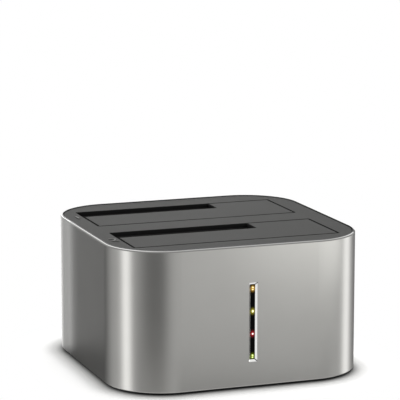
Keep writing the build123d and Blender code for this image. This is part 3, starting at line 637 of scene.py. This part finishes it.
def near_panel(name, bearing, distance, width, low, high, strength):
    cloth = lit_cloth(name + "_cloth", strength)
    cloth.set("Emission Color", panel_white)
    panel = bmesh.new()
    bmesh.ops.create_grid(panel, x_segments=1, y_segments=1, size=0.5)
    bmesh.ops.scale(panel, vec=(width, high - low, 1), verts=panel.verts)
    upright = Matrix.Rotation(math.radians(90), 3, "X")
    bmesh.ops.rotate(panel, matrix=upright, verts=panel.verts)
    bmesh.ops.translate(panel, vec=(0, -distance, (low + high) / 2), verts=panel.verts)
    turned = Matrix.Rotation(-math.radians(bearing), 3, "Z")
    bmesh.ops.rotate(panel, matrix=turned, verts=panel.verts)
    stand(panel, name, cloth)


near_panel(
    "front_softbox",
    bearing=-42, distance=0.32, width=0.3,
    low=0.0, high=0.3, strength=1.55,
)
near_panel(
    "bounce_card",
    bearing=32, distance=0.34, width=0.26,
    low=-0.2, high=-0.07, strength=0.6,
)
near_panel(
    "front_flag",
    bearing=-20, distance=0.18, width=0.16,
    low=-0.12, high=-0.029, strength=0.3,
)
near_panel(
    "left_flag",
    bearing=164, distance=0.16, width=0.16,
    low=-0.12, high=-0.027, strength=0.05,
)

# Floor. White paper that keeps the dock's shadow. Its colour is painted darker
# close to the wall, a little more in front, as painted shadow, and from there
# it brightens outwards until it is pure white wherever a ray shows it.
floor_half_size = 4.0
floor_lift = 0.42
lift_start = 0.5 * mm
lift_end = 12 * mm
white_start = 4 * mm
white_end = 27 * mm
shade_forward = 1 * mm
shade_reach = 4 * mm
floor_painted_shadow_tone = (0.03, 0.03, 0.03)
sheet_tone = (0.92, 0.92, 0.915)
paper = Finish(
    "studio_white", roughness=0.9, specular_ior_level=0.0, emission_strength=1.0
)
shown = paper.shown()
from_wall = past_wall(paper)
away = shown * paper.rise(from_wall, white_start, white_end)
lifted = shown * paper.rise(from_wall, lift_start, lift_end)
near_light = paper.blend(lifted, (0, 0, 0), (floor_lift,) * 3)
# Painted shadow: the sheet's colour goes to near black at the wall, shifted a little to the
# front.
bare = paper.rise(past_wall(paper, shade_forward), -shade_reach, shade_reach)
sheet_colour = paper.blend(bare, floor_painted_shadow_tone, sheet_tone)
paper.set("Base Color", paper.blend(away, sheet_colour, (0, 0, 0)))
paper.set("Emission Color", paper.blend(away, near_light, (1, 1, 1)))
sheet = bmesh.new()
bmesh.ops.create_grid(sheet, x_segments=1, y_segments=1, size=floor_half_size)
floor_mesh = bpy.data.meshes.new("studio_floor")
sheet.to_mesh(floor_mesh)
sheet.free()
floor = bpy.data.objects.new("studio_floor", floor_mesh)
scene.collection.objects.link(floor)
paper.dress(floor)
floor.visible_glossy = False

# Air and lamp. Even soft light comes from all round and from one large lamp
# above, while the camera and whatever is glossy see a brighter, plain surround.
air_tone = (1.0, 1.0, 0.99, 1)
air_strength = 0.54
surround_strength = 1.0
lamp_place = Vector((0.25, 0.2, 1.3))
lamp_aim = Vector((0, 0, 0.03))
lamp_size = (1.1, 0.9)
lamp_power = 8
world = bpy.data.worlds.new("studio")
scene.world = world
world.use_nodes = True
world.node_tree.nodes.clear()
air = Shading(world.node_tree)
soft_light = {"Color": air_tone, "Strength": air_strength}
soft = air.node("ShaderNodeBackground", {}, soft_light)
surround = air.node("ShaderNodeBackground", {}, {"Strength": surround_strength})
choice = air.node("ShaderNodeMixShader", {}, {"Fac": air.shown(), 1: soft, 2: surround})
air.node("ShaderNodeOutputWorld", {}, {"Surface": choice})

softbox = bpy.data.lights.new("top_softbox", "AREA")
softbox.shape = "RECTANGLE"
softbox.size, softbox.size_y = lamp_size
softbox.energy = lamp_power
lamp_holder = bpy.data.objects.new("top_softbox", softbox)
lamp_holder.location = lamp_place
lamp_holder.rotation_euler = (lamp_aim - lamp_place).to_track_quat("-Z", "Y").to_euler()
lamp_holder.visible_glossy = False
scene.collection.objects.link(lamp_holder)

# Camera. Its place and lens come from fitting the case's outline and its bays
# to the photograph, with no shift.
camera_place = (-378.9 * mm, -1027.4 * mm, 286.1 * mm)
camera_yaw = math.radians(20.107)
camera_dip = math.radians(10.622)
frame_pixels = 400
lens_pixels = 2232.1
sensor_width = 36.0
camera = bpy.data.cameras.new("photo_camera")
camera.sensor_width = sensor_width
camera.lens = lens_pixels / frame_pixels * sensor_width
camera.clip_start = 0.01
camera.clip_end = 50
tripod = bpy.data.objects.new("photo_camera", camera)
tripod.location = camera_place
ahead = Vector((
    math.sin(camera_yaw) * math.cos(camera_dip),
    math.cos(camera_yaw) * math.cos(camera_dip),
    -math.sin(camera_dip),
))
tripod.rotation_mode = "QUATERNION"
tripod.rotation_quaternion = ahead.to_track_quat("-Z", "Y")
scene.collection.objects.link(tripod)
scene.camera = tripod
